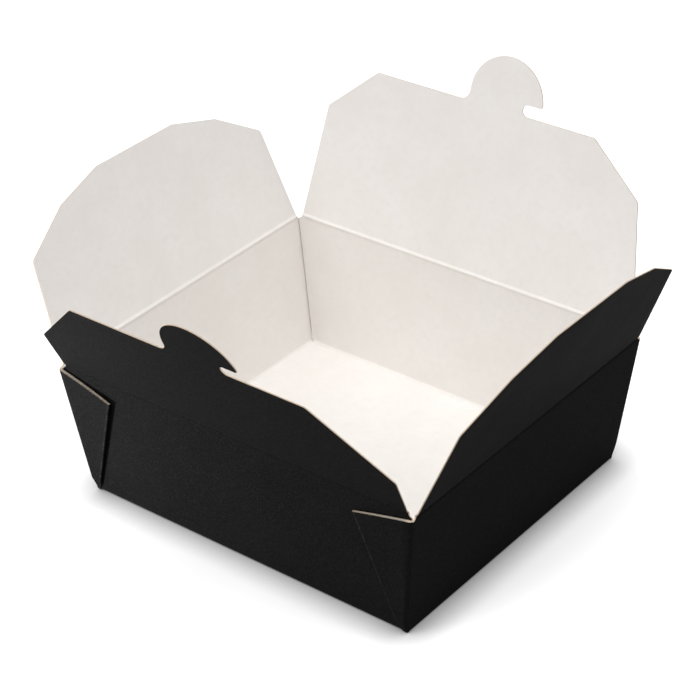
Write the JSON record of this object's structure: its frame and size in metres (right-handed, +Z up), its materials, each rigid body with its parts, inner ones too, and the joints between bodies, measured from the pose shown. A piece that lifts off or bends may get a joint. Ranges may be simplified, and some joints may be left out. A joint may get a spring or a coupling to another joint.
{
  "type": "folding paperboard food box",
  "caption": "Open takeaway box folded from one sheet of board, with webbed corners and hinged lid flaps, the larger ones with a round hook tab.",
  "frame": {"origin": "centre of the underside of the base", "axes": "+Z up, +X to the right along the longer sides, -Y towards the front wall that carries the shorter hook flap"},
  "size_m": [0.2401, 0.216, 0.1642],
  "materials": {
    "coated_board": "matte, black outside and white inside"
  },
  "bodies": {
    "tray": {"tray": "coated_board"},
    "front_flap": {"front_flap": "coated_board"},
    "back_flap": {"back_flap": "coated_board"},
    "left_flap": {"left_flap": "coated_board"},
    "right_flap": {"right_flap": "coated_board"}
  },
  "joints": [
    {"name": "front_crease", "type": "hinge", "parent": "tray", "child": "front_flap", "pos_m": [0, -0.07975, 0.065], "axis": [1, 0, 0], "range_deg": [-114, 76]},
    {"name": "back_crease", "type": "hinge", "parent": "tray", "child": "back_flap", "pos_m": [0, 0.07975, 0.0657], "axis": [-1, 0, 0], "range_deg": [-104, 86]},
    {"name": "left_crease", "type": "hinge", "parent": "tray", "child": "left_flap", "pos_m": [-0.09475, 0, 0.0643], "axis": [0, -1, 0], "range_deg": [-110, 80]},
    {"name": "right_crease", "type": "hinge", "parent": "tray", "child": "right_flap", "pos_m": [0.09475, 0, 0.0643], "axis": [0, 1, 0], "range_deg": [-113, 77]}
  ]
}
